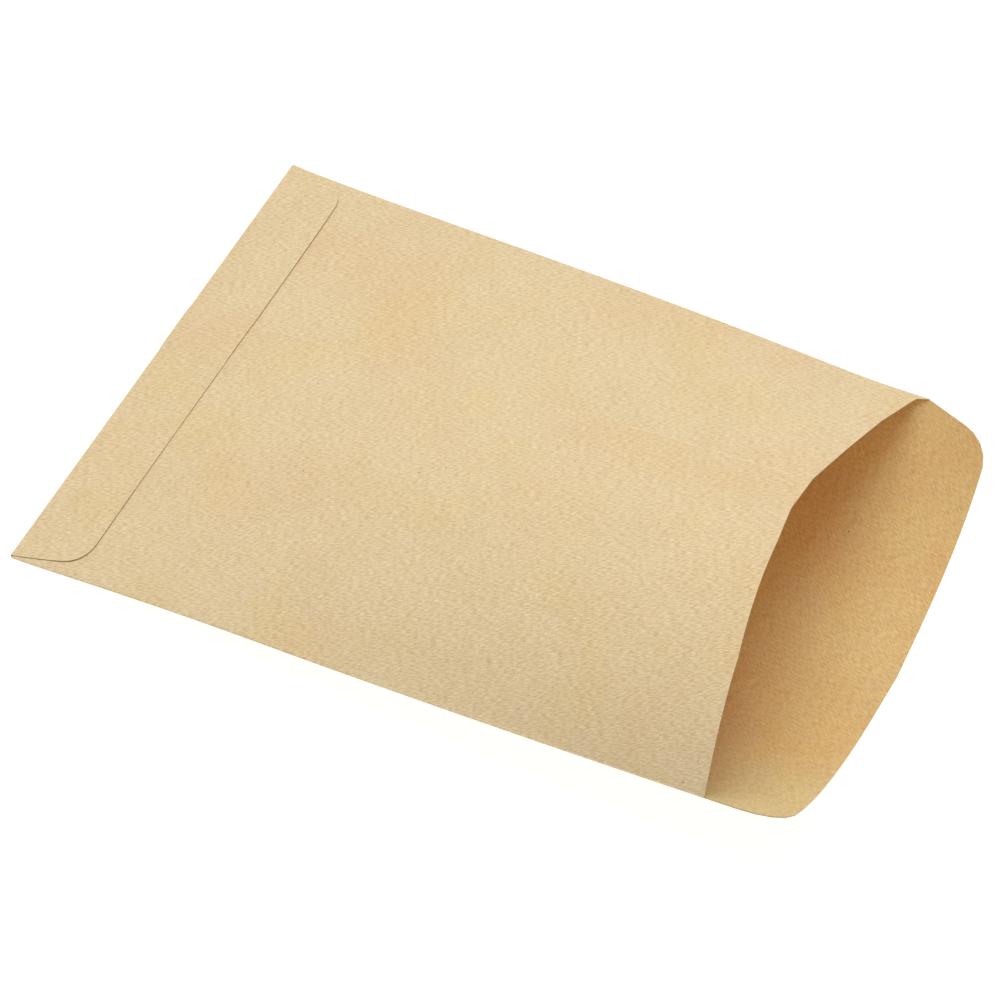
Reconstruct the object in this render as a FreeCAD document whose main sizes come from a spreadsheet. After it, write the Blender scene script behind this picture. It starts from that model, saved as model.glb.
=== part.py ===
import FreeCAD, Part
import math
import os
import Sketcher

# A kraft paper pocket envelope, lying on its front with its glued back upwards and its mouth
# held open. It is one folded sheet: the front panel lies on the table, the two side panels turn
# over it at the long folds and overlap in a lengthwise seam, the bottom flap turns up over the
# closed end, and the unsealed seal flap runs on past the mouth. Lengths are in millimetres and
# angles in degrees. X runs from the closed end to the mouth, Y from the near long fold to the
# far one, and Z is up from the table.

doc = FreeCAD.newDocument("envelope")
sizes = doc.addObject("Spreadsheet::Sheet", "sizes")

DRIVING = {
    # the folded sheet
    "sheet_width": 90.0,           # between the two long folds
    "pocket_length": 123.1,        # closed end to the line of the mouth
    "paper_thickness": 0.15,
    "fold_gap": 0.1,               # air between the two panels where they lie closed
    # lengthwise seam of the back
    "under_panel_width": 43.3,     # far side panel, from its fold to its hidden cut edge
    "seam_overlap": 12.4,          # how far the near side panel lies over the far one
    "seam_step_run": 0.8,          # length over which the upper panel climbs onto the lower
    # bottom flap, glued over the closed end
    "bottom_flap_length": 11.6,
    "bottom_flap_crown": 0.7,      # how far the middle of its end edge stands out
    "bottom_flap_taper_angle": 15.0,
    "bottom_flap_radius": 3.2,
    "bottom_flap_setback": 0.5,    # from the long folds, at the closed end
    # seal flap, unsealed
    "seal_flap_length": 10.7,      # along its sides
    "seal_flap_crown": 2.2,        # how far the middle of its end edge stands out
    "seal_flap_taper_angle": 10.6,
    "seal_flap_radius": 5.5,
    # slanted mouth edges of the two side panels, set back from the line of the mouth, in the
    # plane of the two folds
    "cut_near_fold": 1.5,
    "cut_near_bow": 4.3,
    "cut_near_bow_place": 15.0,    # from the near fold
    "cut_hidden_edge": 7.4,
    "cut_seam_middle": 8.8,
    "cut_exposed_edge": 9.2,
    "cut_far_bow": 6.7,
    "cut_far_bow_place": 12.3,     # from the far fold
    "cut_far_fold": 3.6,
    # how the paper is bent where the mouth is held open
    "table_strip": 12.0,           # middle of the front panel that stays flat on the table
    "flat_end": 2.0,               # stretch at the closed end that stays shut
    "opening_ease": 0.05,
    "opening_bulge": 0.2,
    "near_bend_angle": 44.3,       # turn of the front panel from the table to the near fold
    "far_bend_angle": 44.0,
    "back_near_fold_angle": 36.3,  # headings along the back panel, scaled to span the folds
    "back_near_crest_angle": -1.1,
    "back_seam_angle": -1.8,
    "back_far_crest_angle": -2.2,
    "back_far_fold_angle": -5.4,
}

NAME_COLUMN, VALUE_COLUMN = "A", "B"


filled = []            # names of the cells filled so far


def put(name, value):
    """Adds one named cell to the sheet: a number, or a formula in the names of other cells."""
    filled.append(name)
    row = len(filled)
    sizes.set("%s%d" % (NAME_COLUMN, row), name)
    sizes.set("%s%d" % (VALUE_COLUMN, row), str(value))
    sizes.setAlias("%s%d" % (VALUE_COLUMN, row), name)


for alias, number in DRIVING.items():
    put(alias, number)
doc.recompute()


def size(name):
    """Value of one named cell."""
    return float(getattr(sizes, name))


def heading(name):
    """Value of one named cell that holds an angle, in radians."""
    return math.radians(size(name))


WIDTH = size("sheet_width")
LENGTH = size("pocket_length")
PAPER = size("paper_thickness")
STRIP = size("table_strip")
SEAM = size("seam_overlap")
SIDE_REACH = (WIDTH - STRIP) / 2
OVER_PANEL = WIDTH - size("under_panel_width")
FLAP_TIP = LENGTH + size("seal_flap_length") + size("seal_flap_crown")

STRAIGHT = 1e-6        # turns and gaps under this count as none
HALVINGS = 60          # steps of the search for the back panel's bend
MOST_BEND = 9.0        # upper end of that search
CLEAR = 5.0            # how far the cutting blocks reach past the paper
REST_SKIM = 0.002      # what is taken off the underside where it lies on the table
STRETCHES = 14         # stretches between the outlines of a loft
CROWDING = 1.8         # how much closer the outlines lie near the closed end
FOLD_FLAT = 0.25       # share of a fold's height that each of its bevelled corners takes


def opening(x):
    """How far the bend has grown at x: 0 where the pocket is shut, 1 at the mouth."""
    share = max(0.0, (x - size("flat_end")) / (LENGTH - size("flat_end")))
    if share == 0.0:
        return 0.0
    ease = size("opening_ease")
    return (1 + ease) * share ** 2 / (share + ease) * (1 + size("opening_bulge") * (1 - share))


def bent(length, start, turn, count):
    """Points (y, z, heading) along a strip that starts at a heading and turns evenly."""
    trail = []
    for i in range(count):
        share = i / (count - 1)
        now = start + turn * share
        if abs(turn) < STRAIGHT:
            y, z = length * share * math.cos(start), length * share * math.sin(start)
        else:
            y = length / turn * (math.sin(now) - math.sin(start))
            z = length / turn * (math.cos(start) - math.cos(now))
        trail.append((y, z, now))
    return trail


def shifted(trail, y, z):
    """A trail set off from a new start."""
    return [(point[0] + y, point[1] + z, point[2]) for point in trail]


def raised(trail, height):
    """A trail moved square to itself, to the side that faces up."""
    return [(y - height * math.sin(way), z + height * math.cos(way), way) for y, z, way in trail]


def front_trails(x):
    """Underside of the front panel at x: near side, strip on the table, far side."""
    grown = opening(x)
    far = shifted(bent(SIDE_REACH, 0.0, heading("far_bend_angle") * grown, 6), STRIP / 2, 0.0)
    mirror = shifted(bent(SIDE_REACH, 0.0, heading("near_bend_angle") * grown, 6), STRIP / 2, 0.0)
    near = [(-y, z, -way) for y, z, way in reversed(mirror)]
    return [near, [(-STRIP / 2, 0.0, 0.0), (STRIP / 2, 0.0, 0.0)], far]


def back_stretches(scale, turn_all):
    """Near panel, seam and far panel of the back, their headings scaled and then all turned."""
    stretches = []
    y = z = 0.0
    for first, last, length, count in (
            ("back_near_fold_angle", "back_near_crest_angle", OVER_PANEL, 8),
            ("back_seam_angle", "back_seam_angle", SEAM, 3),
            ("back_far_crest_angle", "back_far_fold_angle", WIDTH - OVER_PANEL - SEAM, 5)):
        start = heading(first) * scale + turn_all
        turn = (heading(last) - heading(first)) * scale
        stretches.append(shifted(bent(length, start, turn, count), y, z))
        y, z = stretches[-1][-1][0], stretches[-1][-1][1]
    return stretches


def back_trails(x):
    """Inside of the back panel at x, bent just enough to span from fold to fold."""
    near, strip, far = front_trails(x)
    start = raised(near, PAPER + size("fold_gap"))[0]
    end = raised(far, PAPER + size("fold_gap"))[-1]
    span = math.hypot(end[0] - start[0], end[1] - start[1])
    low, high = 0.0, MOST_BEND
    for step in range(HALVINGS):
        scale = (low + high) / 2
        tip = back_stretches(scale, 0.0)[-1][-1]
        if math.hypot(tip[0], tip[1]) > span:
            low = scale
        else:
            high = scale
    turn_all = math.atan2(end[1] - start[1], end[0] - start[0]) - math.atan2(tip[1], tip[0])
    return [shifted(piece, start[0], start[1]) for piece in back_stretches(scale, turn_all)]


def along_band(band, share):
    """Point on a straight trail at a share of its length."""
    first, last = band[0], band[-1]
    return (first[0] + (last[0] - first[0]) * share, first[1] + (last[1] - first[1]) * share, first[2])


def back_top(x, layers):
    """Upper side of the back panel at x, from the far fold to the near one, with more layers."""
    near, band, far = back_trails(x)
    extra = layers * PAPER
    upper = raised(band, 2 * PAPER + extra)
    climb = size("seam_step_run") / SEAM
    return [
        raised(far, PAPER + extra)[::-1],
        [upper[2], upper[1], along_band(upper, climb)],
        raised(near, PAPER + extra)[::-1]]


def edge_along(trail, x):
    """One smooth edge along a trail, in the plane at x."""
    points = [FreeCAD.Vector(x, point[0], point[1]) for point in trail]
    if len(points) == 2:
        return Part.LineSegment(points[0], points[1]).toShape()
    curve = Part.BSplineCurve()
    curve.interpolate(Points=points, Parameters=[i / (len(points) - 1) for i in range(len(points))])
    return curve.toShape()


def fold_around(end, start):
    """Outer side of a long fold, pressed to three narrow flats, from one trail to the next."""
    rise_y, rise_z = start[0] - end[0], start[1] - end[1]
    deep = PAPER / math.hypot(rise_y, rise_z)
    out_y, out_z = rise_z * deep, -rise_y * deep
    lower = (end[0] + out_y + rise_y * FOLD_FLAT, end[1] + out_z + rise_z * FOLD_FLAT)
    upper = (start[0] + out_y - rise_y * FOLD_FLAT, start[1] + out_z - rise_z * FOLD_FLAT)
    return [end, lower, upper, start]


def outline(trails, x, folds):
    """Closed wire in the plane at x. Where two trails don't meet they are joined by a straight
    edge, or by a fold after the trails whose numbers are in folds."""
    edges = []
    for i, trail in enumerate(trails):
        after = trails[(i + 1) % len(trails)]
        edges.append(edge_along(trail, x))
        corners = [trail[-1], after[0]]
        if i in folds:
            corners = fold_around(trail[-1], after[0])
        for one, two in zip(corners, corners[1:]):
            if math.hypot(two[0] - one[0], two[1] - one[1]) > STRAIGHT:
                edges.append(edge_along([one, two], x))
    return Part.Wire(edges)


def outside(x):
    """Outer outline of the folded sheet at x."""
    return outline(front_trails(x) + back_top(x, 0), x, (2, 5))


def inside(x):
    """Outline of the air between the panels at x."""
    front = [raised(trail, PAPER) for trail in front_trails(x)]
    back = [trail[::-1] for trail in reversed(back_trails(x))]
    return outline(front + back, x, ())


def flap_stack(x):
    """Outline of the back panel at x with one more layer of paper on it."""
    return outline(back_trails(x) + back_top(x, 1), x, ())


def lofted(name, make, places):
    """A solid through the outlines at the given places along x."""
    solid = doc.addObject("Part::Feature", name)
    solid.Shape = Part.makeLoft([make(x) for x in places], True, False)
    return solid


def plan_block(name, corners, reach, rounded, radius):
    """A block padded up from a plan outline whose corners are formulas, some of them rounded.
    Each corner gets its own two cells in the sheet, which drive the sketch."""
    for i, (along, across) in enumerate(corners):
        put("%s_along_%d" % (name, i), "=" + along)
        put("%s_across_%d" % (name, i), "=" + across)
    doc.recompute()
    body = doc.addObject("PartDesign::Body", name)
    plan = body.newObject("Sketcher::SketchObject", name + "_plan")
    plane = [item for item in body.Origin.OriginFeatures if item.Role == "XY_Plane"][0]
    plan.AttachmentSupport = [(plane, "")]
    plan.MapMode = "FlatFace"
    spots = []
    for i in range(len(corners)):
        spots.append(FreeCAD.Vector(size("%s_along_%d" % (name, i)), size("%s_across_%d" % (name, i)), 0))
    for i, spot in enumerate(spots):
        plan.addGeometry(Part.LineSegment(spot, spots[(i + 1) % len(spots)]), False)
    for i, spot in enumerate(spots):
        plan.addConstraint(Sketcher.Constraint("Coincident", (i - 1) % len(spots), 2, i, 1))
        for kind, way, distance in (("DistanceX", "along", spot.x), ("DistanceY", "across", spot.y)):
            number = plan.addConstraint(Sketcher.Constraint(kind, -1, 1, i, 1, distance))
            plan.setExpression("Constraints[%d]" % number, "sizes.%s_%s_%d" % (name, way, i))
    pad = body.newObject("PartDesign::Pad", name + "_pad")
    pad.Profile = plan
    pad.setExpression("Length", reach)
    doc.recompute()
    if rounded:
        soft = body.newObject("PartDesign::Fillet", name + "_corners")
        edges = []
        for number, edge in enumerate(pad.Shape.Edges, start=1):
            foot, head = edge.Vertexes[0].Point, edge.Vertexes[-1].Point
            stands = abs(foot.z - head.z) > STRAIGHT
            if stands and any(math.hypot(foot.x - spots[i].x, foot.y - spots[i].y) < STRAIGHT for i in rounded):
                edges.append("Edge%d" % number)
        soft.Base = (pad, edges)
        soft.setExpression("Radius", radius)
        doc.recompute()
    return body


def combined(kind, name, base, tool):
    """A boolean of two objects."""
    result = doc.addObject(kind, name)
    result.Base = base
    result.Tool = tool
    return result


# Where the folds and the seam's two edges lie at the mouth, for the plan outlines.
mouth_front = front_trails(LENGTH)
mouth_back = back_trails(LENGTH)
put("mouth_near", -mouth_front[0][0][0])
put("mouth_far", mouth_front[2][-1][0])
put("fold_span", "=mouth_near + mouth_far")
put("hidden_edge_place", "=mouth_near + %r" % mouth_back[1][0][0])
put("exposed_edge_place", "=mouth_near + %r" % mouth_back[1][-1][0])
put("block_height", "=sheet_width / 2")
put("block_clear", CLEAR)
put("rest_skim", REST_SKIM)
doc.recompute()

# The folded sheet as a full block, the block of air inside it, and a stack with one more layer
# of paper that the bottom flap is cut from.
stations = [(FLAP_TIP + CLEAR) * (i / STRETCHES) ** CROWDING for i in range(STRETCHES + 1)]
sheet_block = lofted("sheet_block", outside, stations)
air_block = lofted("air_block", inside, [PAPER] + stations[1:])
stack_block = lofted("stack_block", flap_stack, stations)

# The bottom flap narrows from the closed end to its rounded corners, and its end edge bows out.
put("bottom_flap_side", "=sheet_width / 2 - bottom_flap_setback")
put("bottom_flap_corner", "=bottom_flap_side - bottom_flap_length * tan(bottom_flap_taper_angle)")
bottom_flap_block = plan_block("bottom_flap_block", [
    ("0", "-bottom_flap_side"),
    ("bottom_flap_length", "-bottom_flap_corner"),
    ("bottom_flap_length + 0.75 * bottom_flap_crown", "-bottom_flap_corner / 2"),
    ("bottom_flap_length + bottom_flap_crown", "0"),
    ("bottom_flap_length + 0.75 * bottom_flap_crown", "bottom_flap_corner / 2"),
    ("bottom_flap_length", "bottom_flap_corner"),
    ("0", "bottom_flap_side")], "sizes.block_height", (1, 5), "sizes.bottom_flap_radius")
bottom_flap = combined("Part::Common", "bottom_flap", stack_block, bottom_flap_block)

# The cut outline of the sheet: the pocket as wide as it comes, then the narrowing seal flap.
put("flap_line", "=pocket_length + seal_flap_length")
put("flap_narrowing", "=seal_flap_length * tan(seal_flap_taper_angle)")
put("beside", "=sheet_width / 2 + block_clear")
cut_block = plan_block("cut_block", [
    ("-block_clear", "-beside"),
    ("pocket_length", "-beside"),
    ("pocket_length", "-mouth_near"),
    ("flap_line", "-(mouth_near - flap_narrowing)"),
    ("flap_line + seal_flap_crown", "0"),
    ("flap_line", "mouth_far - flap_narrowing"),
    ("pocket_length", "mouth_far"),
    ("pocket_length", "beside"),
    ("-block_clear", "beside")], "2 * sizes.block_height", (3, 5), "sizes.seal_flap_radius")
cut_block.Placement = FreeCAD.Placement(FreeCAD.Vector(0, 0, -CLEAR), FreeCAD.Rotation())

# The two side panels end in slanted edges, set back most at the seam. The block that cuts them
# stands on the plane of the two long folds at the mouth, so it leaves the front panel whole.
put("block_front", "=2 * seal_flap_length + 2 * block_clear")
mouth_block = plan_block("mouth_block", [
    ("-cut_near_fold", "-block_clear"),
    ("-cut_near_fold", "0"),
    ("-cut_near_bow", "cut_near_bow_place"),
    ("-cut_hidden_edge", "hidden_edge_place"),
    ("-cut_seam_middle", "(hidden_edge_place + exposed_edge_place) / 2"),
    ("-cut_exposed_edge", "exposed_edge_place"),
    ("-cut_far_bow", "fold_span - cut_far_bow_place"),
    ("-cut_far_fold", "fold_span"),
    ("-cut_far_fold", "fold_span + block_clear"),
    ("block_front", "fold_span + block_clear"),
    ("block_front", "-block_clear")], "sizes.block_height", (), "")


def fold_middle(x, side):
    """Middle of the narrow air gap at a fold: side 0 is the near fold, side 2 the far one."""
    trail = raised(front_trails(x)[side], PAPER + size("fold_gap") / 2)
    spot = trail[0] if side == 0 else trail[-1]
    return FreeCAD.Vector(x, spot[0], spot[1])


near_fold = fold_middle(LENGTH, 0)
along_fold = near_fold - fold_middle(LENGTH - size("cut_hidden_edge"), 0)
across_folds = fold_middle(LENGTH, 2) - near_fold
along_fold.y = 0.0
mouth_block.Placement = FreeCAD.Placement(
    near_fold, FreeCAD.Rotation(along_fold, across_folds, along_fold.cross(across_folds), "ZXY"))

# The strip that lies on the table is skimmed to a true plane.
table = doc.addObject("Part::Box", "table")
table.setExpression("Length", "2 * (sizes.pocket_length + sizes.seal_flap_length)")
table.setExpression("Width", "2 * sizes.sheet_width")
table.setExpression("Height", "sizes.block_clear")
table.setExpression("Placement.Base.x", "-sizes.block_clear")
table.setExpression("Placement.Base.y", "-sizes.sheet_width")
table.setExpression("Placement.Base.z", "sizes.rest_skim - sizes.block_clear")

skimmed = combined("Part::Cut", "skimmed", sheet_block, table)
flapped = combined("Part::Fuse", "flapped", skimmed, bottom_flap)
trimmed = combined("Part::Common", "trimmed", flapped, cut_block)
hollow = combined("Part::Cut", "hollow", trimmed, air_block)
envelope_sheet = combined("Part::Cut", "envelope_sheet", hollow, mouth_block)
envelope_sheet.Label = "envelope_sheet"
envelope_sheet.setExpression(
    "Placement.Base.x", "-(sizes.pocket_length + sizes.seal_flap_length + sizes.seal_flap_crown) / 2")
envelope_sheet.setExpression("Placement.Base.z", "-sizes.rest_skim")
doc.recompute()

for thing in doc.Objects:
    if "Invalid" in thing.State or "Error" in thing.State:
        raise RuntimeError("%s failed: %s" % (thing.Name, thing.State))
for node in (envelope_sheet,):
    if node.Shape.isNull() or not node.Shape.isValid() or len(node.Shape.Solids) != 1:
        raise RuntimeError("%s is not one valid solid" % node.Label)

os.makedirs("parts", exist_ok=True)
for node in (envelope_sheet,):
    node.Shape.exportStep("parts/%s.step" % node.Label)
    box = node.Shape.BoundBox
    print("%s volume %.1f box %.2f %.2f %.2f to %.2f %.2f %.2f" % (
        node.Label, node.Shape.Volume, box.XMin, box.YMin, box.ZMin, box.XMax, box.YMax, box.ZMax))
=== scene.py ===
import math

import bpy
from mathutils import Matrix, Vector


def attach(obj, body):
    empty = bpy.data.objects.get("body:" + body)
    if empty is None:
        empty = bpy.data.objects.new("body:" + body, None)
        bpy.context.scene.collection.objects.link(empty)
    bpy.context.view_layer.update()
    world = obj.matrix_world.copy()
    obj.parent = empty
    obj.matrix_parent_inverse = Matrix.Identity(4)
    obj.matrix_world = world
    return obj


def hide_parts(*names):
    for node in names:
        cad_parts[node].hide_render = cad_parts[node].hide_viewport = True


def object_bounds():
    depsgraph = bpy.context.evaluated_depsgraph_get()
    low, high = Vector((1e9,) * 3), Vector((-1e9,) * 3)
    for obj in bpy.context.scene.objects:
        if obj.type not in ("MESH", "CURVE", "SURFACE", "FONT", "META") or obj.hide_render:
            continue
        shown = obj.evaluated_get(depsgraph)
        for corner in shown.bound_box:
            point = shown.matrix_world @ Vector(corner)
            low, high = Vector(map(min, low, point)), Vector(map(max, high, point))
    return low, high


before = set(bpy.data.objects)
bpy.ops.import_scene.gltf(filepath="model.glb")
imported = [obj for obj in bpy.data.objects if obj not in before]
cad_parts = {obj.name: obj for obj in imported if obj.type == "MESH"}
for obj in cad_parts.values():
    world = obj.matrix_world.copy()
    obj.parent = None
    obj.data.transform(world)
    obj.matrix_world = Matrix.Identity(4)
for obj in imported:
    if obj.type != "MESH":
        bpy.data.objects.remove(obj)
cad_low, cad_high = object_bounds()

# The pocket
# One die-cut sheet of brown kraft paper, lying on its front. Its two side panels turn over the
# front panel at the long folds and are glued where they overlap. The mouth is held open.
MM = 0.001
SHEET_WIDTH = 90.0
POCKET_LENGTH = 123.1
PAPER = 0.15
FOLD_GAP = 0.1
HALF_WIDTH = SHEET_WIDTH / 2
CLOSED_END = cad_low[0] / MM

UNDER_PANEL = 43.3
SEAM_OVERLAP = 12.4
SEAM_NARROWING = 4.0
SEAM_STEP_RUN = 0.8
OVER_PANEL = SHEET_WIDTH - UNDER_PANEL

# The front panel lies flat on the table in a strip along its middle and bends up evenly on both
# sides of it. The back panel bulges up just enough to span the two folds.
TABLE_STRIP = 12.0
SIDE_REACH = (SHEET_WIDTH - TABLE_STRIP) / 2
OPENING_EASE = 0.05
OPENING_BULGE = 0.02
NEAR_BEND = math.radians(44.3)
FAR_BEND = math.radians(44.0)
BACK_STRETCHES = (
    # where it starts from the near fold, its length, its first and last heading in degrees
    (0.0, OVER_PANEL, 36.3, -1.1),
    (OVER_PANEL, SEAM_OVERLAP, -1.8, -1.8),
    (OVER_PANEL + SEAM_OVERLAP, UNDER_PANEL - SEAM_OVERLAP, -2.2, -5.4),
)


def opening(x):
    """How far the bend has grown at x from the closed end: 0 where shut, 1 at the mouth."""
    share = x / POCKET_LENGTH
    if share <= 0:
        return 0.0
    eased = (1 + OPENING_EASE) * share ** 2 / (share + OPENING_EASE)
    return eased * (1 + OPENING_BULGE * (1 - share))


def even_bend(along, start, rate):
    """Where a strip that starts at a heading and turns evenly has got to."""
    if abs(rate) < 1e-9:
        return along * math.cos(start), along * math.sin(start)
    now = start + rate * along
    return (math.sin(now) - math.sin(start)) / rate, (math.cos(start) - math.cos(now)) / rate


def front_at(grown, across, lift):
    """Point of the front panel's section, across from the middle, lifted off its underside."""
    side = 1 if across >= 0 else -1
    beyond = max(0.0, abs(across) - TABLE_STRIP / 2)
    rate = (FAR_BEND if side > 0 else NEAR_BEND) * grown / SIDE_REACH
    y, z = even_bend(beyond, 0.0, rate)
    way = rate * beyond
    y += min(abs(across), TABLE_STRIP / 2) - lift * math.sin(way)
    return side * y, z + lift * math.cos(way)


def back_run(scale, across):
    """Point and heading of the back panel's inner side, from the near fold, before it is turned."""
    y = z = 0.0
    for first, length, start, end in BACK_STRETCHES:
        start, end = math.radians(start) * scale, math.radians(end) * scale
        rate = (end - start) / length
        along = min(across - first, length)
        dy, dz = even_bend(along, start, rate)
        y, z, way = y + dy, z + dz, start + rate * along
        if across <= first + length:
            break
    return y, z, way


MOST_BULGE = 9.0
HALVINGS = 48


def spanning(grown):
    """Scale and turn that make the back panel span the two folds."""
    near_y, near_z = front_at(grown, -HALF_WIDTH, PAPER + FOLD_GAP)
    far_y, far_z = front_at(grown, HALF_WIDTH, PAPER + FOLD_GAP)
    span = math.hypot(far_y - near_y, far_z - near_z)
    low, high = 0.0, MOST_BULGE
    for halving in range(HALVINGS):
        scale = (low + high) / 2
        y, z, way = back_run(scale, SHEET_WIDTH)
        if math.hypot(y, z) > span:
            low = scale
        else:
            high = scale
    return scale, math.atan2(far_z - near_z, far_y - near_y) - math.atan2(z, y)


SPAN_STEP = 0.01
SPAN_COUNT = 131
spans = [spanning(SPAN_STEP * i) for i in range(SPAN_COUNT)]


def back_at(grown, across, lift):
    """Point of the back panel's section, across from the near fold, lifted off its inner side."""
    place = grown / SPAN_STEP
    lower = int(place)
    share = place - lower
    scale = spans[lower][0] * (1 - share) + spans[lower + 1][0] * share
    turn = spans[lower][1] * (1 - share) + spans[lower + 1][1] * share
    start_y, start_z = front_at(grown, -HALF_WIDTH, PAPER + FOLD_GAP)
    y, z, way = back_run(scale, across)
    way += turn
    return (start_y + y * math.cos(turn) - z * math.sin(turn) - lift * math.sin(way),
            start_z + y * math.sin(turn) + z * math.cos(turn) + lift * math.cos(way))


# Cut edges of the side panels at the mouth: how far they are set back from the line of the
# mouth, at places across from the near fold.
OVER_CUT = ((0.0, 0.1), (22.0, 1.3), (43.0, 4.2), (51.0, 5.9), (59.1, 6.2))
UNDER_CUT = ((46.7, 6.5), (59.1, 6.3), (70.0, 5.0), (80.0, 3.6), (89.0, 1.5), (90.0, -0.4))
FOLD_DRAW = 8


def read_off(line, place):
    """Value at a place along a line of (place, value) corners."""
    for (start, low), (end, high) in zip(line, line[1:]):
        if place <= end:
            return low + (high - low) * max(0.0, place - start) / (end - start)
    return line[-1][1]


POCKET_ROWS = 120
FRONT_COLUMNS = 72
OVER_COLUMNS = 56
UNDER_COLUMNS = 44
FOLD_COLUMNS = 5
SEAM_EDGE = 0.35


def over_place(across, along):
    """Place across the back of a line of the near side panel, whose cut edge runs aslant."""
    narrower = SEAM_NARROWING * max(0.0, 1 - along / POCKET_LENGTH)
    return across - narrower * max(0.0, across - OVER_PANEL) / SEAM_OVERLAP


def over_lift(across):
    """Height of the middle of the near side panel above the back's inner side."""
    climb = min(1.0, max(0.0, (across - OVER_PANEL + SEAM_STEP_RUN) / SEAM_STEP_RUN))
    return PAPER * (0.5 + climb * climb * (3 - 2 * climb))


def over_at(grown, across):
    """Point of the middle of the near side panel, which lies over the far one in the seam."""
    return back_at(grown, across, over_lift(across))


def front_set_back(across):
    """How far the rows near the mouth bend back towards the two folds on the front panel."""
    cut = OVER_CUT[0][1] if across < 0 else UNDER_CUT[-1][1]
    return cut * max(0.0, abs(across) / HALF_WIDTH) ** FOLD_DRAW


def fold_at(grown, side, share):
    """Point round a long fold, from the back panel at share 0 to the front panel at share 1."""
    across = HALF_WIDTH if side > 0 else -HALF_WIDTH
    front_y, front_z = front_at(grown, across, PAPER / 2)
    back_y, back_z = back_at(grown, HALF_WIDTH + across, PAPER / 2)
    half_y, half_z = (back_y - front_y) / 2, (back_z - front_z) / 2
    turn = math.pi * share
    return (front_y + half_y + half_y * math.cos(turn) + side * half_z * math.sin(turn),
            front_z + half_z + half_z * math.cos(turn) - side * half_y * math.sin(turn))


# One column for each line along the sheet, from the hidden cut edge of the far side panel round
# to the exposed cut edge of the near one: its cross-section, its set back and its place on the
# flat blank.
columns = []
for i in range(UNDER_COLUMNS):
    across = OVER_PANEL + UNDER_PANEL * i / UNDER_COLUMNS
    columns.append((lambda along, a=across: back_at(opening(along), a, PAPER / 2),
                    read_off(UNDER_CUT, across), SHEET_WIDTH - across + HALF_WIDTH, "under"))
for i in range(FOLD_COLUMNS + 1):
    columns.append((lambda along, s=i / FOLD_COLUMNS: fold_at(opening(along), 1, s),
                    UNDER_CUT[-1][1], HALF_WIDTH, "fold"))
for i in range(1, FRONT_COLUMNS):
    across = HALF_WIDTH - SHEET_WIDTH * i / FRONT_COLUMNS
    columns.append((lambda along, a=across: front_at(opening(along), a, PAPER / 2),
                    front_set_back(across), across, "front"))
for i in range(FOLD_COLUMNS + 1):
    columns.append((lambda along, s=1 - i / FOLD_COLUMNS: fold_at(opening(along), -1, s),
                    OVER_CUT[0][1], -HALF_WIDTH, "fold"))
over_places = [(OVER_PANEL + SEAM_OVERLAP) * i / OVER_COLUMNS for i in range(1, OVER_COLUMNS + 1)]
over_places.insert(-1, OVER_PANEL + SEAM_OVERLAP - SEAM_EDGE)
for across in over_places:
    columns.append((lambda along, a=across: over_at(opening(along), over_place(a, along)),
                    read_off(OVER_CUT, across), -HALF_WIDTH - across, "over"))

# Each point is kept with its place on the flat blank: how far along it and how far across.
points = []
blank = []
faces = []


def laid(before, ahead, sideways, y, z):
    """Next point along a line of the sheet, which keeps the paper's length as it rises."""
    run = ahead ** 2 + sideways ** 2 - (y - before[1]) ** 2 - (z - before[2]) ** 2
    return (before[0] + math.sqrt(max(0.0, run)), y, z)


def joined(rows):
    """Faces between neighbouring rows of point numbers."""
    for one, two in zip(rows, rows[1:]):
        for i in range(len(one) - 1):
            faces.append((one[i], two[i], two[i + 1], one[i + 1]))


pocket_rows = []
for row in range(POCKET_ROWS + 1):
    numbers = []
    for place, (section, set_back, flat_across, panel) in enumerate(columns):
        along = (POCKET_LENGTH - set_back) * row / POCKET_ROWS
        y, z = section(along)
        if row == 0:
            point = (0.0, y, z)
        else:
            before = pocket_rows[-1][place]
            point = laid(points[before], along - blank[before][0], 0.0, y, z)
        numbers.append(len(points))
        points.append(point)
        if panel == "over":
            narrower = -flat_across - HALF_WIDTH - over_place(-flat_across - HALF_WIDTH, along)
            blank.append((along, flat_across + narrower))
        else:
            blank.append((along, flat_across))
    pocket_rows.append(numbers)
joined(pocket_rows)

# The seal flap
# The front panel runs on past the mouth as a flap that was never sealed. It is cut with two
# rounded corners, the far one more tapered, and curves up as the front panel does.
SEAL_FLAP = 12.5
SEAL_CROWN = 1.5
SEAL_TAPER = (math.radians(0.5), math.radians(8.5))
SEAL_RADIUS = (7.2, 6.0)
SEAL_ROWS = 20


def corner_arc(half_width, end, taper, radius, share):
    """Point on a flap's rounded corner, share 0 on the end edge and 1 on the side edge."""
    turn = math.pi / 2 - taper
    reach = radius * math.tan(turn / 2)
    middle_x = end - radius
    middle_v = half_width - end * math.tan(taper) - reach
    angle = turn * share
    return middle_x + radius * math.cos(angle), middle_v + radius * math.sin(angle)


ROUND_SHARE = 0.12


def flap_rim(f, half_width, length, crown, taper, radius):
    """Point on a flap's cut edge for a column at f, from -1 at one side to 1 at the other."""
    side = 1 if f >= 0 else -1
    flat = 1 - ROUND_SHARE
    if abs(f) <= flat:
        corner_v = corner_arc(half_width, length, taper, radius, 0.0)[1]
        v = corner_v * abs(f) / flat
        return length + crown * (1 - v / corner_v), side * v
    x, v = corner_arc(half_width, length, taper, radius, (abs(f) - flat) / ROUND_SHARE)
    return x, side * v


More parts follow.
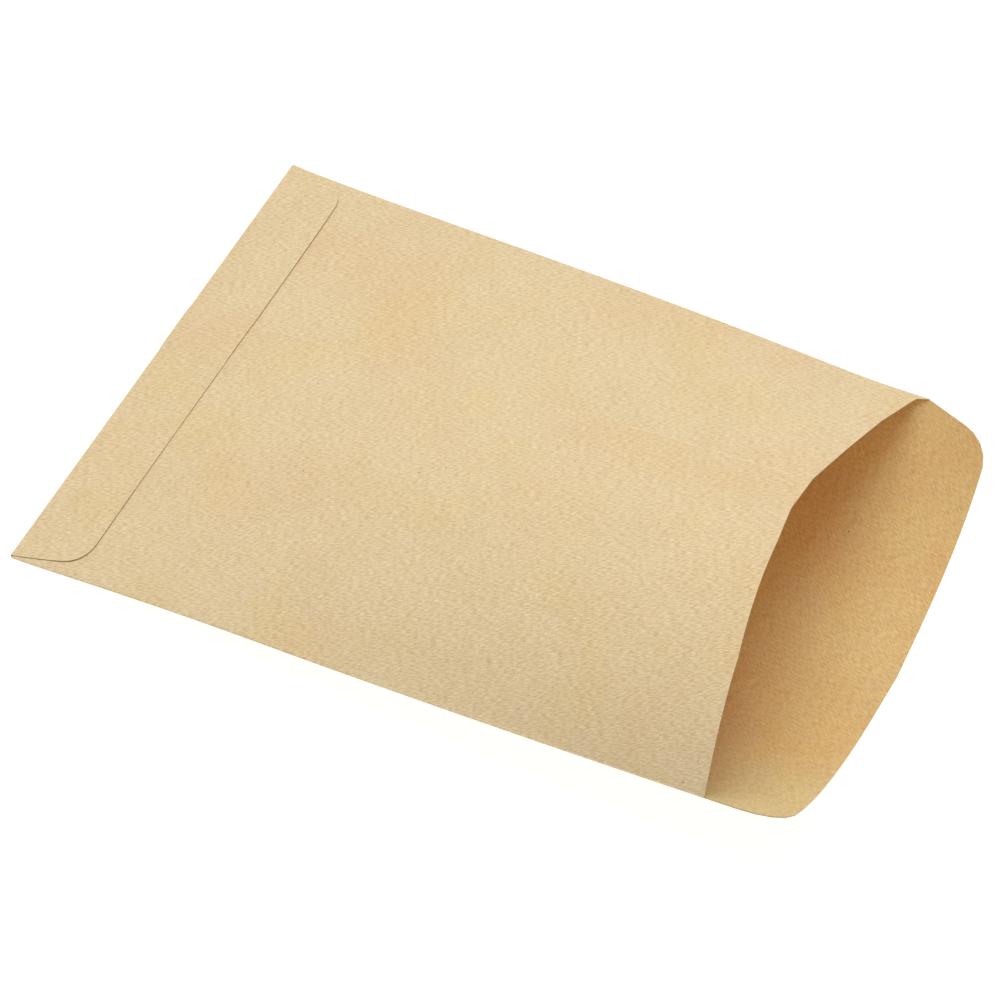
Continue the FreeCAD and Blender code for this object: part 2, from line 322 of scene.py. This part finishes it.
front_places = [i for i, column in enumerate(columns) if column[3] == "front"]
front_places = [front_places[0] - 1, *front_places, front_places[-1] + 1]
seal_rows = [[pocket_rows[-1][i] for i in front_places]]
for row in range(1, SEAL_ROWS + 1):
    numbers = []
    for place in range(len(front_places)):
        start_along, start_across = blank[seal_rows[0][place]]
        f = start_across / HALF_WIDTH
        far = f > 0
        rim_along, rim_across = flap_rim(f, HALF_WIDTH, SEAL_FLAP, SEAL_CROWN,
                                         SEAL_TAPER[far], SEAL_RADIUS[far])
        share = row / SEAL_ROWS
        along = start_along + (POCKET_LENGTH + rim_along - start_along) * share
        across = start_across + (rim_across - start_across) * share
        before = seal_rows[-1][place]
        y, z = front_at(opening(along), across, PAPER / 2)
        numbers.append(len(points))
        points.append(laid(points[before], along - blank[before][0],
                           across - blank[before][1], y, z))
        blank.append((along, across))
    seal_rows.append(numbers)
joined(seal_rows)

# The bottom flap
# It turns round the closed end and is glued down on the back, over the seam. Its cut edge bows
# out a little in the middle and stands just clear of the back.
BOTTOM_FLAP = 11.6
BOTTOM_TAPER = (math.radians(12.5), math.radians(8.0))
BOTTOM_RADIUS = (4.6, 4.2)
BOTTOM_CROWN = 0.7
BOTTOM_SETBACK = 0.1
BOTTOM_ROWS = 16
BOTTOM_TURN_ROWS = 6
BOTTOM_TURN_LENGTH = 0.8
BOTTOM_LIFT = 0.03
BOTTOM_EDGE_LIFT = 0.08

bottom_rows = [[pocket_rows[0][i] for i in front_places]]


def flap_bed(along, across):
    """Point of the back that the bottom flap lies on, with the flap's own half thickness added."""
    grown = opening(along)
    place = across + HALF_WIDTH
    double = OVER_PANEL - SEAM_STEP_RUN < place < over_place(OVER_PANEL + SEAM_OVERLAP, along)
    lift = over_lift(place) + PAPER / 2 if double else PAPER
    return back_at(grown, place, lift + PAPER / 2 + BOTTOM_LIFT)


for row in range(1, BOTTOM_TURN_ROWS + BOTTOM_ROWS + 1):
    numbers = []
    for place in range(len(front_places)):
        start_across = blank[bottom_rows[0][place]][1]
        f = start_across / HALF_WIDTH
        far = f > 0
        rim_along, rim_across = flap_rim(f, HALF_WIDTH - BOTTOM_SETBACK, BOTTOM_FLAP, 0.0,
                                         BOTTOM_TAPER[far], BOTTOM_RADIUS[far])
        rim_along += BOTTOM_CROWN * (1 - f * f)
        if row <= BOTTOM_TURN_ROWS:
            turn = math.pi * row / BOTTOM_TURN_ROWS
            drawn_in = BOTTOM_SETBACK / HALF_WIDTH * row / BOTTOM_TURN_ROWS
            across = start_across * (1 - drawn_in)
            low_y, low_z = front_at(0.0, across, PAPER / 2)
            high_y, high_z = flap_bed(0.0, across)
            radius = (high_z - low_z) / 2
            point = (-radius * math.sin(turn), across, low_z + radius * (1 - math.cos(turn)))
            along = -radius * turn
        else:
            share = (row - BOTTOM_TURN_ROWS) / BOTTOM_ROWS
            start = start_across * (1 - BOTTOM_SETBACK / HALF_WIDTH)
            x = rim_along * share
            across = start + (rim_across - start) * share
            y, z = flap_bed(x, across)
            point = (x, y, z + BOTTOM_EDGE_LIFT * share ** 5)
            along = -x - BOTTOM_TURN_LENGTH
        numbers.append(len(points))
        points.append(point)
        blank.append((along, across))
    bottom_rows.append(numbers)
joined([row[::-1] for row in bottom_rows])

# The whole sheet
# It is made as one mesh of the paper's middle and thickened to both sides into one closed sheet.
# The two long folds aren't quite parallel: the pocket is a little wider at its closed end, which
# lies a little towards the near side, and the far fold stands out a little at the mouth.
FLARE = 0.029
FLARE_REACH = 45.0
FLARE_ASIDE = 0.5
FAR_MOUTH_OUT = 1.2
FAR_MOUTH_REACH = 16.0


def flared(x, y, z):
    """Point in metres in the part's frame, moved out where the closed end is wider."""
    closed = min(1.0, max(0.0, 1 - x / FLARE_REACH)) ** 2
    mouth = min(1.0, max(0.0, 1 - abs(x - POCKET_LENGTH) / FAR_MOUTH_REACH))
    y = y * (1 + FLARE * closed) - FLARE_ASIDE * closed
    y += FAR_MOUTH_OUT * mouth ** 2 * min(1.0, max(0.0, y / HALF_WIDTH)) ** 3
    return ((x + CLOSED_END) * MM, y * MM, z * MM)


sheet_mesh = bpy.data.meshes.new("kraft_envelope")
sheet_mesh.from_pydata([flared(*point) for point in points], [], faces)
sheet_mesh.validate()
BLANK_UNIT = 100.0
flat_map = sheet_mesh.uv_layers.new(name="blank")
for loop in sheet_mesh.loops:
    along, across = blank[loop.vertex_index]
    flat_map.data[loop.index].uv = (along / BLANK_UNIT, across / BLANK_UNIT)
envelope = bpy.data.objects.new("kraft_envelope", sheet_mesh)
bpy.context.scene.collection.objects.link(envelope)

# The cut edge of the seam is marked, so that it can be painted paler: its frayed fibres, and a
# painted highlight where the edge catches light.
frayed_highlight = sheet_mesh.attributes.new(name="frayed_highlight", type="FLOAT", domain="POINT")
for numbers in pocket_rows:
    frayed_highlight.data[numbers[-1]].value = 1.0

SHARP_FROM = math.radians(40.0)
thickness = envelope.modifiers.new("paper thickness", "SOLIDIFY")
thickness.thickness = PAPER * MM
thickness.offset = 0.0
thickness.use_even_offset = False
thickness.material_offset = 1
thickness.material_offset_rim = 2
for side in ("kraft_outside", "kraft_inside_painted_shade", "kraft_cut_edge_painted_shade"):
    envelope.data.materials.append(bpy.data.materials.new(side))
depsgraph = bpy.context.evaluated_depsgraph_get()
envelope.data = bpy.data.meshes.new_from_object(envelope.evaluated_get(depsgraph))
envelope.modifiers.clear()
envelope.data.polygons.foreach_set("use_smooth", [True] * len(envelope.data.polygons))
envelope.data.set_sharp_from_angle(angle=SHARP_FROM)

FIBRE_TURN = math.radians(-27.0)
CROSS_TURN = FIBRE_TURN + 0.15
WARM_BLOTCH = (1.0, 0.945, 0.915)
YELLOW_BLOTCH = (1.0, 0.985, 0.90)
BROWN_CLOUD = (0.975, 0.965, 0.945)
BROWN_FLECK = (0.965, 0.95, 0.93)
DARK_FIBRE = (0.84, 0.785, 0.71)
PALE_FIBRE = (1.09, 1.12, 1.18)
BARK_SPECK = (0.50, 0.38, 0.27)
SPECK_RARITY = 0.94
SPECK_GROWTH = 0.6
FIBRE_HEIGHT = 0.35
OUTSIDE_PAPER = (0.765, 0.600, 0.367)
# Painted shade: the inside paper is a darker, more orange copy of the outside paper, for the shade
# and warm bounce light inside the pocket.
INSIDE_PAPER_PAINTED_SHADE = (0.605, 0.51, 0.26)
# Painted shade: the cut edges are dark brown, for the thin shadow line under the bottom flap's
# lifted edge.
CUT_EDGE_PAINTED_SHADE = (0.50, 0.34, 0.16)
# Painted highlight: paler paper along the seam's cut edge, for its frayed fibres and the light they
# catch.
FRAYED_HIGHLIGHT_PAPER = (0.81, 0.67, 0.44)

# What brown kraft paper shows close up, laid out on the flat blank: soft clouds of paler and
# browner pulp, warm and yellow blotches, short pressed fibres and a few dark bark specks. It
# puts out the paper's colour, the height of its felted surface, and the patches where a cut edge is
# frayed and painted paler as a highlight.
pulp = bpy.data.node_groups.new("kraft_pulp", "ShaderNodeTree")
pulp.interface.new_socket("Paper", in_out="INPUT", socket_type="NodeSocketColor")
pulp.interface.new_socket("Contrast", in_out="INPUT", socket_type="NodeSocketFloat")
pulp.interface.new_socket("Color", in_out="OUTPUT", socket_type="NodeSocketColor")
pulp.interface.new_socket("Height", in_out="OUTPUT", socket_type="NodeSocketFloat")
pulp.interface.new_socket("FrayHighlight", in_out="OUTPUT", socket_type="NodeSocketFloat")
pulp_in = pulp.nodes.new("NodeGroupInput")
pulp_out = pulp.nodes.new("NodeGroupOutput")
pulp_place = pulp.nodes.new("ShaderNodeUVMap")
pulp_place.uv_map = "blank"


def pulp_noise(scale, detail, roughness, turn=0.0, stretch=1.0):
    """Noise on the blank, its grains stretched along a direction."""
    laid_out = pulp.nodes.new("ShaderNodeMapping")
    laid_out.vector_type = "TEXTURE"
    laid_out.inputs["Rotation"].default_value = (0, 0, turn)
    laid_out.inputs["Scale"].default_value = (stretch, 1, 1)
    grain = pulp.nodes.new("ShaderNodeTexNoise")
    grain.noise_dimensions = "2D"
    grain.inputs["Scale"].default_value = scale
    grain.inputs["Detail"].default_value = detail
    grain.inputs["Roughness"].default_value = roughness
    pulp.links.new(pulp_place.outputs["UV"], laid_out.inputs["Vector"])
    pulp.links.new(laid_out.outputs["Vector"], grain.inputs["Vector"])
    return grain.outputs["Fac"]


def pulp_math(operation, first, second, third=None, clamp=False):
    """One sum on two or three sockets or numbers."""
    step = pulp.nodes.new("ShaderNodeMath")
    step.operation = operation
    step.use_clamp = clamp
    for slot, value in enumerate((first, second, third)):
        if isinstance(value, (int, float)):
            step.inputs[slot].default_value = value
        elif value is not None:
            pulp.links.new(value, step.inputs[slot])
    return step.outputs["Value"]


def pulp_ramp(value, low, high):
    """0 below low, 1 above high, smooth between."""
    span = pulp.nodes.new("ShaderNodeMapRange")
    span.interpolation_type = "SMOOTHSTEP"
    span.inputs["From Min"].default_value = low
    span.inputs["From Max"].default_value = high
    pulp.links.new(value, span.inputs["Value"])
    return span.outputs["Result"]


def pulp_tint(below, mask, shade):
    """Multiplies a colour by a shade where the mask is 1."""
    blend = pulp.nodes.new("ShaderNodeMix")
    blend.data_type = "RGBA"
    blend.blend_type = "MULTIPLY"
    pulp.links.new(mask, blend.inputs["Factor"])
    pulp.links.new(below, blend.inputs["A"])
    blend.inputs["B"].default_value = (*shade, 1)
    return blend.outputs["Result"]


# Each noise has its scale, detail and roughness, and its turn and stretch where it has a grain.
clouds = pulp_noise(9.0, 4.0, 0.55)
flecks = pulp_noise(55.0, 5.0, 0.6)
warm = pulp_ramp(pulp_noise(4.0, 3.0, 0.5, 0.6), 0.45, 0.75)
yellow = pulp_ramp(pulp_noise(6.0, 3.0, 0.5, 1.9), 0.48, 0.75)
fibres_one = pulp_noise(820.0, 2.0, 0.5, FIBRE_TURN, 8.0)
fibres_two = pulp_noise(620.0, 2.0, 0.5, CROSS_TURN, 6.0)
felt = pulp_noise(700.0, 3.0, 0.6)
dark_fibres = pulp_math("MAXIMUM", pulp_ramp(fibres_one, 0.50, 0.64),
                        pulp_ramp(fibres_two, 0.54, 0.68))
pale_fibres = pulp_math("MAXIMUM", pulp_ramp(pulp_math("SUBTRACT", 1.0, fibres_one), 0.54, 0.72),
                        pulp_ramp(pulp_math("SUBTRACT", 1.0, fibres_two), 0.56, 0.74))

pulp_colour = pulp_in.outputs["Paper"]
for pulp_mark, shade in ((warm, WARM_BLOTCH),
                         (yellow, YELLOW_BLOTCH),
                         (pulp_ramp(clouds, 0.35, 0.72), BROWN_CLOUD),
                         (pulp_ramp(flecks, 0.42, 0.74), BROWN_FLECK),
                         (dark_fibres, DARK_FIBRE),
                         (pale_fibres, PALE_FIBRE)):
    pulp_strength = pulp_math("MULTIPLY", pulp_mark, pulp_in.outputs["Contrast"])
    pulp_colour = pulp_tint(pulp_colour, pulp_strength, shade)

# Bark specks: one small dark dot in a few of the cells of a coarse pattern.
speck_cells = pulp.nodes.new("ShaderNodeTexVoronoi")
speck_cells.voronoi_dimensions = "2D"
speck_cells.inputs["Scale"].default_value = 26.0
pulp.links.new(pulp_place.outputs["UV"], speck_cells.inputs["Vector"])
speck_lot = pulp.nodes.new("ShaderNodeSeparateColor")
pulp.links.new(speck_cells.outputs["Color"], speck_lot.inputs["Color"])
speck_luck = pulp_math("SUBTRACT", speck_lot.outputs["Red"], SPECK_RARITY, clamp=True)
speck_size = pulp_math("MULTIPLY", speck_luck, SPECK_GROWTH)
speck_mask = pulp_math("LESS_THAN", speck_cells.outputs["Distance"], speck_size)
pulp_colour = pulp_tint(pulp_colour, speck_mask, BARK_SPECK)
pulp.links.new(pulp_colour, pulp_out.inputs["Color"])
fray_highlight_patches = pulp_noise(22.0, 4.0, 0.6)
pulp.links.new(pulp_ramp(fray_highlight_patches, 0.40, 0.66), pulp_out.inputs["FrayHighlight"])
pulp_height = pulp_math("MULTIPLY_ADD", dark_fibres, FIBRE_HEIGHT, felt)
pulp.links.new(pulp_height, pulp_out.inputs["Height"])

# The same paper pattern outside, inside and on the cut edges. The inside is a darker, warmer copy
# of the outside colour: painted shade and warm bounce light for the pocket's hollow. The cut edges
# are dark brown: painted shade for the thin shadow line under the bottom flap's edge. Some light
# passes through the thin sheet.
for side, paper, contrast, through in (
        ("kraft_outside", OUTSIDE_PAPER, 0.9, 0.12),
        ("kraft_inside_painted_shade", INSIDE_PAPER_PAINTED_SHADE, 1.0, 0.7),
        ("kraft_cut_edge_painted_shade", CUT_EDGE_PAINTED_SHADE, 0.6, 0.0)):
    finish = bpy.data.materials[side]
    finish.use_nodes = True
    finish_nodes, finish_links = finish.node_tree.nodes, finish.node_tree.links
    finish_shader = finish_nodes["Principled BSDF"]
    finish_pulp = finish_nodes.new("ShaderNodeGroup")
    finish_pulp.node_tree = pulp
    finish_pulp.inputs["Paper"].default_value = (*paper, 1)
    finish_pulp.inputs["Contrast"].default_value = contrast
    # Painted highlight: a paler band along the seam's cut edge, for frayed fibres and the light
    # they catch.
    finish_edge = finish_nodes.new("ShaderNodeAttribute")
    finish_edge.attribute_name = "frayed_highlight"
    finish_paler = finish_nodes.new("ShaderNodeMix")
    finish_paler.data_type = "RGBA"
    finish_paler.inputs["B"].default_value = (*FRAYED_HIGHLIGHT_PAPER, 1)
    finish_broken = finish_nodes.new("ShaderNodeMath")
    finish_broken.operation = "MULTIPLY"
    finish_links.new(finish_edge.outputs["Fac"], finish_broken.inputs[0])
    finish_links.new(finish_pulp.outputs["FrayHighlight"], finish_broken.inputs[1])
    finish_links.new(finish_broken.outputs["Value"], finish_paler.inputs["Factor"])
    finish_links.new(finish_pulp.outputs["Color"], finish_paler.inputs["A"])
    finish_links.new(finish_paler.outputs["Result"], finish_shader.inputs["Base Color"])
    finish_bump = finish_nodes.new("ShaderNodeBump")
    finish_bump.inputs["Strength"].default_value = 0.5
    finish_bump.inputs["Distance"].default_value = 0.00004
    finish_links.new(finish_pulp.outputs["Height"], finish_bump.inputs["Height"])
    finish_links.new(finish_bump.outputs["Normal"], finish_shader.inputs["Normal"])
    finish_shader.inputs["Roughness"].default_value = 0.82
    finish_shader.inputs["Specular IOR Level"].default_value = 0.25
    finish_shader.inputs["Sheen Weight"].default_value = 0.06
    finish_shader.inputs["Subsurface Weight"].default_value = through
    finish_shader.inputs["Subsurface Radius"].default_value = (1.0, 0.52, 0.08)
    finish_shader.inputs["Subsurface Scale"].default_value = 0.0007

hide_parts("envelope_sheet")
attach(envelope, "root")

# The table
# A plain white studio table top.
bpy.ops.mesh.primitive_plane_add(size=6.0, location=(0, 0, -0.0002))
table = bpy.context.object
table.name = "table_top"
table_white = bpy.data.materials.new("table_white")
table_white.use_nodes = True
table_shader = table_white.node_tree.nodes["Principled BSDF"]
table_shader.inputs["Base Color"].default_value = (0.3, 0.3, 0.3, 1)
table_shader.inputs["Roughness"].default_value = 0.9
table_shader.inputs["Emission Color"].default_value = (1, 1, 1, 1)
table_shader.inputs["Emission Strength"].default_value = 0.85
table.data.materials.append(table_white)

# The light
# A white room, and a broad soft lamp overhead towards the far side of the closed end.
world = bpy.data.worlds.new("white_room")
bpy.context.scene.world = world
world.use_nodes = True
world.node_tree.nodes["Background"].inputs["Color"].default_value = (1, 1, 1, 1)
world.node_tree.nodes["Background"].inputs["Strength"].default_value = 0.47

lamp_data = bpy.data.lights.new("soft_lamp", "AREA")
lamp_data.shape = "DISK"
lamp_data.size = 1.0
lamp_data.energy = 9.8
lamp = bpy.data.objects.new("soft_lamp", lamp_data)
lamp.location = (-0.25, 0.3, 1.1)
lamp.rotation_euler = (Vector((0, 0, 0)) - lamp.location).to_track_quat("-Z", "Y").to_euler()
bpy.context.scene.collection.objects.link(lamp)

# The camera
# It looks down from the near side of the mouth.
PHOTO_SIDE = 1001
FOCAL_PIXELS = 3285.0
CAMERA_TURN = math.radians(27.84)
CAMERA_RISE = math.radians(56.68)
CAMERA_AWAY = 542.9
AIM = Vector(((65.38 + CLOSED_END) * MM, 0.31 * MM, 0.0))

camera_data = bpy.data.cameras.new("photo_view")
camera_data.sensor_width = 36.0
camera_data.lens = FOCAL_PIXELS / PHOTO_SIDE * camera_data.sensor_width
camera_data.clip_start = 0.01
camera = bpy.data.objects.new("photo_view", camera_data)
towards = Vector((math.sin(CAMERA_TURN) * math.cos(CAMERA_RISE),
                  -math.cos(CAMERA_TURN) * math.cos(CAMERA_RISE),
                  math.sin(CAMERA_RISE)))
camera.location = AIM + towards * CAMERA_AWAY * MM
camera.rotation_euler = (-towards).to_track_quat("-Z", "Y").to_euler()
bpy.context.scene.collection.objects.link(camera)
bpy.context.scene.camera = camera
bpy.context.scene.view_settings.view_transform = "Standard"
